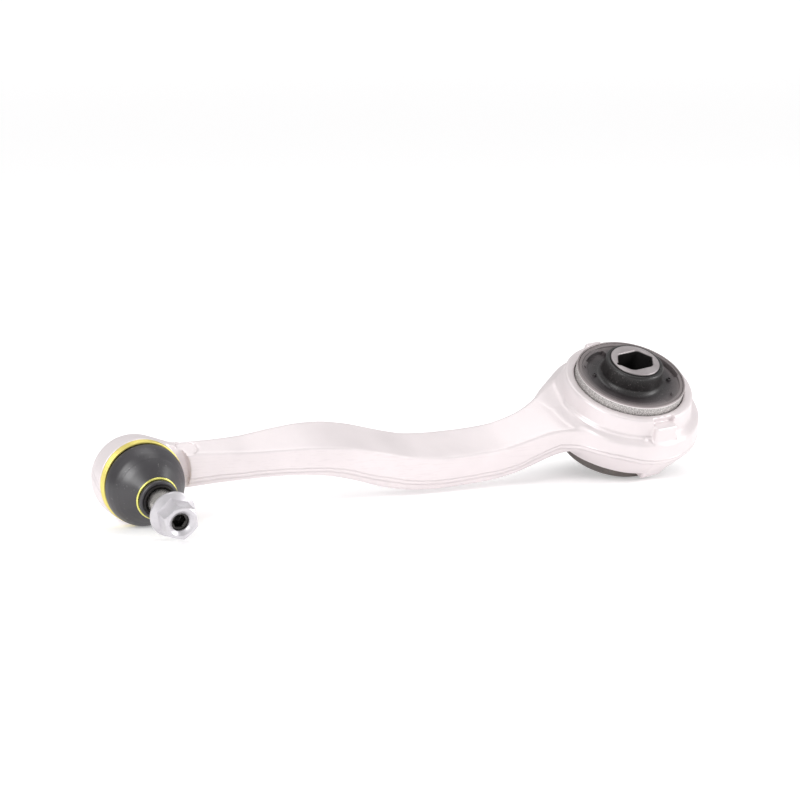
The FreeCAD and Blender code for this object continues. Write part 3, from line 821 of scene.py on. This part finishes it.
def boot_rings():
    """Fine outline through the boot's points, as rings whose plane turns from the housing to the stud."""
    shares = np.array([p[0] for p in BOOT_LINE])
    radii = np.array([p[1] for p in BOOT_LINE])
    run = np.concatenate([[0], np.cumsum(np.hypot(np.diff(shares) * BOOT_SPAN, np.diff(radii)))])
    fine = np.linspace(0, run[-1], 130)
    kernel = np.exp(-0.5 * (np.arange(-4, 5) / 2.0) ** 2)
    kernel /= kernel.sum()
    lines = []
    for column in (shares, radii):
        raw = np.interp(fine, run, column)
        lines.append(np.convolve(np.pad(raw, 4, mode="edge"), kernel, mode="valid"))
    return list(zip(*lines))


def boot_place(share):
    """Local mm frame of the boot's ring that lies this share of the way from the housing to the neck."""
    droop = radians(HOUSING_DROOP + (STUD_DROOP - HOUSING_DROOP) * min(max(share, 0), 1))
    height = BOOT_LOW + (BOOT_HIGH - BOOT_LOW) * share
    turned = Matrix.Rotation(pi / 2 + droop, 4, "X") @ Matrix.Scale(MM, 4)
    return Matrix.Translation(BALL) @ turned @ Matrix.Translation((0, 0, height))


def boot_mesh(name, rings, wall=1.5, segments=180):
    """Closed skin, outside and inside, that follows the rings and sags a little."""
    verts, faces = [], []
    loops = [(s, r, 0) for s, r in rings] + [(s, r, 1) for s, r in reversed(rings)]
    for share, radius, inner in loops:
        place = boot_place(share)
        for k in range(segments):
            a = 2 * pi * k / segments
            sag = 0.55 * sin(pi * min(max(share, 0), 1)) * (-sin(a))
            r = radius - wall * inner + sag
            verts.append(place @ Vector((r * cos(a), r * sin(a), -0.5 * wall * inner)))
    n = len(loops)
    for i in range(n):
        j = (i + 1) % n
        for k in range(segments):
            m = (k + 1) % segments
            faces.append((i * segments + k, i * segments + m, j * segments + m, j * segments + k))
    return new_piece(name, verts, faces, Matrix.Identity(4), 80.0)


def make_boot():
    """The boot in two pieces that meet at a seam: its skirt from the arm to the seam, its crown from the seam to
    the neck.
    """
    rings = boot_rings()
    seam = next(i for i, ring in enumerate(rings) if ring[0] > BOOT_SEAM)
    skirt = dress(boot_mesh("boot_skirt", rings[:seam + 1]), "boot")
    crown = dress(boot_mesh("boot_crown", rings[seam:]), "boot")
    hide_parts("boot")
    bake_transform(skirt)
    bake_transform(crown)


def make_collar():
    collar = lathe("boot_seal_collar", rounded([
        (7.95, 29.9), (9.3, 29.9), (9.3, 31.2), (8.6, 31.6), (7.95, 31.4)], 0.25), STUD, 120)
    finish_piece(collar, "collar", "boot_neck", "boot_collar")


THREAD_R, PITCH, BALL_R = 6.0, 1.5, 13.5
# Shank's outline: height, radius.
SHANK = [
    (10, 6.6), (15.0, 6.6), (18.5, 7.0), (20.5, 7.7), (28.0, 7.7), (44.5, 6.95), (45.3, 5.2), (47.0, 5.2)]


def hexagon_field(x, y, flats):
    a = np.abs(x * cos(pi / 6) + y * sin(pi / 6))
    b = np.abs(x * cos(pi / 6) - y * sin(pi / 6))
    return np.maximum(np.maximum(a, b), np.abs(y)) - flats / 2


def stud_field(x, y, z):
    """Neck, seating taper, undercut, thread and hexagon socket."""
    r = np.hypot(x, y)
    turn = np.arctan2(y, x) / (2 * pi)
    wave = np.abs(((z / PITCH - turn) % 1.0) - 0.5) * 2
    crest = THREAD_R - 0.85 * np.clip(1.12 * wave - 0.06, 0, 1)
    thread = convex((r - crest) * 0.75, np.abs(z - 53.8) - 7.2, 0.5)
    profile = np.interp(z, *zip(*SHANK))
    shank = convex((r - profile) * 0.9, np.abs(z - 28.5) - 18.6, 0.3)
    body = np.minimum(thread, shank)
    socket = np.maximum(hexagon_field(x, y, 6.0) - np.maximum(z - 60.2, 0) * 0.8, 54.5 - z)
    return np.maximum(body, -socket)


def make_stud():
    cell = 0.2
    low, high = (-8.4, -8.4, 9.5), (8.4, 8.4, 61.6)
    shank = field_piece("stud_shank", stud_field, low, high, cell, STUD, 160000, 40.0)
    finish_piece(shank, "stud", "stud")
    arc = [(BALL_R * sin(a), -BALL_R * cos(a)) for a in np.linspace(radians(32.5), radians(151), 60)]
    ball = lathe("stud_ball", [(0.0, arc[0][1])] + arc + [(0.0, arc[-1][1])], STUD, 120)
    finish_piece(ball, "stud", "stud", "ball_stud")


NUT_LOW, NUT_HIGH = 49.4, 64.4
NUT_HALF_FLATS = 9.0
NUT_TURN = radians(43.0)


def hex_radius(angles):
    """Distance out to a hexagon's side in each direction, with a corner at angle zero."""
    from_middle = np.mod(angles, pi / 3) - pi / 6
    return NUT_HALF_FLATS / np.cos(from_middle)


def nut_loops(angles):
    """Outline of the nut as loops of (radius at each angle, height), from the bore's foot to its mouth."""
    corner = hex_radius(angles)
    loops = [(6.06, NUT_LOW + 0.9), (6.9, NUT_LOW), (12.5, NUT_LOW), (12.85, NUT_LOW + 0.12),
             (13.0, NUT_LOW + 0.5), (13.0, NUT_LOW + 1.5), (12.88, NUT_LOW + 1.8), (12.6, NUT_LOW + 2.0)]
    for height in np.arange(2.1, 3.9, 0.15):
        loops.append((np.maximum(corner + 0.25, 12.6 - (height - 2.0) * 2.1), NUT_LOW + height))
    loops.append((corner + 0.08, NUT_LOW + 4.1))
    loops.append((corner, NUT_LOW + 4.4))
    for height in np.concatenate([[10.5, 13.0], np.arange(13.4, 14.9, 0.08), [14.9, 14.97]]):
        loops.append((np.minimum(corner, 8.75 + (15.0 - height) * 1.6), NUT_LOW + height))
    loops += [(8.6, NUT_HIGH), (7.3, NUT_HIGH), (7.1, NUT_HIGH - 0.1), (5.25, NUT_HIGH - 1.8),
              (5.1, NUT_HIGH - 2.0), (5.1, NUT_HIGH - 3.1), (6.06, NUT_HIGH - 3.3)]
    return loops


def make_nut():
    segments = 240
    angles = 2 * pi * np.arange(segments) / segments
    verts, faces = [], []
    loops = nut_loops(angles)
    for radius, height in loops:
        out = radius + 0 * angles
        turned_to = angles + NUT_TURN
        verts += zip(out * np.cos(turned_to), out * np.sin(turned_to), height + 0 * angles)
    for i in range(len(loops)):
        lower, upper = i * segments, (i + 1) % len(loops) * segments
        for k in range(segments):
            m = (k + 1) % segments
            faces.append((lower + k, lower + m, upper + m, upper + k))
    nut = new_piece("lock_nut", verts, faces, STUD, 24.0)
    finish_piece(nut, "nut", "stud", "flange_nut")


# ---- stage --------------------------------------------------------------------------------------
FLOOR_REACH = 60.0


def make_floor():
    """Plain pale floor at the height of the lowest point, a little brighter far away."""
    lowest = cad_box[0][2]
    corners = [(-1, -1), (1, -1), (1, 1), (-1, 1)]
    mesh = bpy.data.meshes.new("floor")
    mesh.from_pydata([(FLOOR_REACH * x, FLOOR_REACH * y, lowest) for x, y in corners], [], [(0, 1, 2, 3)])
    floor = bpy.data.objects.new("floor", mesh)
    SCENE.collection.objects.link(floor)
    s = Shader("pale_floor", Roughness=0.6, Specular_IOR_Level=0.2)
    s.main.inputs["Base Color"].default_value = (0.93, 0.925, 0.928, 1)
    s.main.inputs["Emission Color"].default_value = (1, 1, 1, 1)
    away = s.node("VectorMath", {0: s.place}, operation="LENGTH").outputs["Value"]
    s.link(s.levels(away, 1.0, 4.0, 0.28, 0.46), "Emission Strength")
    floor.data.materials.append(s.material)


def add_light(name, place, target, size, watts, colour=(1, 1, 1)):
    lamp = bpy.data.lights.new(name, "AREA")
    lamp.shape = "RECTANGLE"
    lamp.size, lamp.size_y = size
    lamp.energy = watts
    lamp.color = colour
    light = bpy.data.objects.new(name, lamp)
    light.location = place
    light.rotation_euler = (Vector(target) - Vector(place)).to_track_quat("-Z", "Y").to_euler()
    SCENE.collection.objects.link(light)


def make_lights():
    world = bpy.data.worlds.new("studio")
    world.use_nodes = True
    world.node_tree.nodes["Background"].inputs["Color"].default_value = (1, 1, 1, 1)
    world.node_tree.nodes["Background"].inputs["Strength"].default_value = 0.62
    SCENE.world = world
    middle = (-0.15, 0, 0)
    add_light("key_softbox", (-1.5, -0.7, 0.9), middle, (0.7, 1.1), 15.5)
    add_light("top_softbox", (0.1, 0.2, 1.6), middle, (1.2, 0.7), 5.0)
    add_light("side_softbox", (1.3, -0.9, 0.55), middle, (0.5, 1.0), 13.5)


CAMERA_TURN, CAMERA_TILT = radians(25.604), radians(10.945)
CAMERA_PLACE = (-0.8590, -1.4835, 0.3323)
LENS, SENSOR = 130.63, 36.0


def make_camera():
    data = bpy.data.cameras.new("camera")
    data.sensor_width = SENSOR
    data.lens = LENS
    data.clip_start = 0.05
    camera = bpy.data.objects.new("camera", data)
    camera.location = CAMERA_PLACE
    level = cos(CAMERA_TILT)
    look = Vector((sin(CAMERA_TURN) * level, cos(CAMERA_TURN) * level, -sin(CAMERA_TILT)))
    camera.rotation_euler = look.to_track_quat("-Z", "Y").to_euler()
    SCENE.collection.objects.link(camera)
    SCENE.camera = camera


make_camera()
make_floor()
make_lights()
dress_cad_nodes()
make_arm()
make_can()
make_bush_top()
make_bottom_ring()
make_sleeve()
make_clips()
make_boot()
make_collar()
make_stud()
make_nut()
SCENE.view_settings.view_transform = "Standard"
